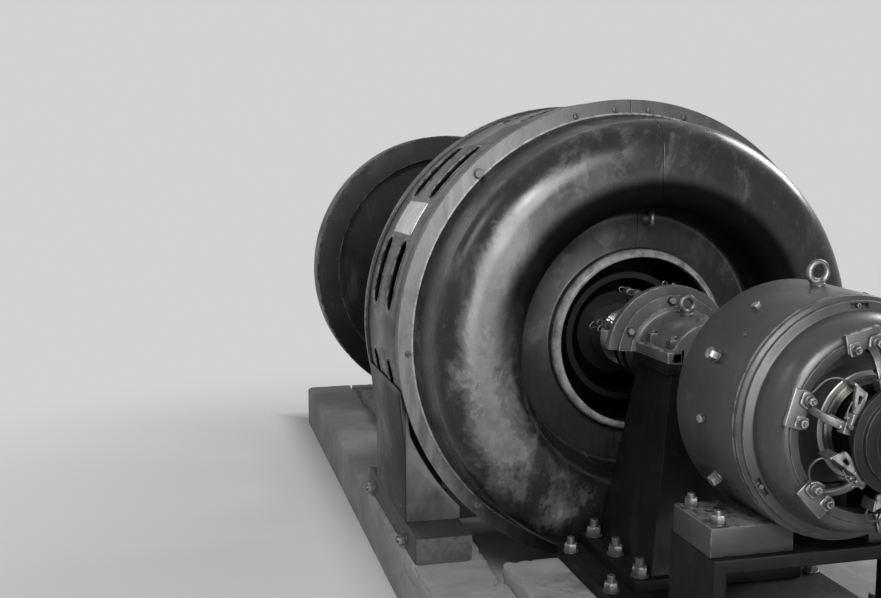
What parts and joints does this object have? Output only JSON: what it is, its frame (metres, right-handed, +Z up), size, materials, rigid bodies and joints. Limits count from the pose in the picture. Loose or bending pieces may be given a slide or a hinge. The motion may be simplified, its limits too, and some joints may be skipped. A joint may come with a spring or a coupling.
{
  "type": "horizontal hydroelectric generator set",
  "caption": "Horizontal generator with slotted stator, bulged end shields, pedestal bearings, exciter and flywheel on one turning shaft.",
  "frame": {"origin": "on the ground under the middle of the set, below the shaft line", "axes": "+X along the shaft towards the exciter, +Y to the right seen from the exciter's end looking back, +Z up"},
  "size_m": [5.345, 2.0196, 2.16],
  "materials": {
    "masonry": "rough",
    "plate_iron": "satin",
    "machine_paint": "gloss",
    "laminations": "matte",
    "winding": "satin",
    "bare_steel": "satin",
    "plate_metal": "satin",
    "cap_paint": "satin",
    "white_metal": "satin",
    "exciter_paint": "satin",
    "brush_metal": "worn",
    "rotor_paint": "satin",
    "copper": "worn"
  },
  "bodies": {
    "stand": {"side_walls": "masonry", "front_block": "masonry", "middle_block": "masonry", "end_wall": "masonry", "sole_plates": "plate_iron", "front_bed_plate": "plate_iron", "rear_bed_plate": "plate_iron", "stator_foot_left": "machine_paint", "stator_foot_right": "machine_paint", "stator_shell": "machine_paint", "front_frame_ring": "machine_paint", "rear_frame_ring": "machine_paint", "stator_core": "laminations", "coil_ends": "winding", "front_shield_left": "machine_paint", "front_shield_right": "machine_paint", "rear_shield_left": "machine_paint", "rear_shield_right": "machine_paint", "shield_eye": "bare_steel", "blank_plate": "plate_metal", "front_pedestal": "plate_iron", "front_bearing_cap": "cap_paint", "rear_pedestal": "plate_iron", "rear_bearing_cap": "cap_paint", "wheel_pedestal": "plate_iron", "wheel_bearing_cap": "cap_paint", "bearing_liners": "white_metal", "brush_ring": "cap_paint", "exciter_frame": "exciter_paint", "exciter_poles": "winding", "exciter_rear_cover": "exciter_paint", "exciter_front_cover": "exciter_paint", "exciter_stool": "plate_iron", "rocker_ring": "brush_metal", "brush_gear": "brush_metal"},
    "rotor": {"generator_shaft": "bare_steel", "rotor_spider": "rotor_paint", "rotor_poles": "laminations", "pole_coils": "winding", "slip_rings": "copper", "armature": "winding", "commutator": "copper", "end_disc": "bare_steel", "flywheel_shaft": "bare_steel", "flywheel": "rotor_paint"}
  },
  "joints": [
    {"name": "shaft_turn", "type": "hinge", "parent": "stand", "child": "rotor", "pos_m": [0, 0, 1.15], "axis": [1, 0, 0], "continuous": true}
  ]
}
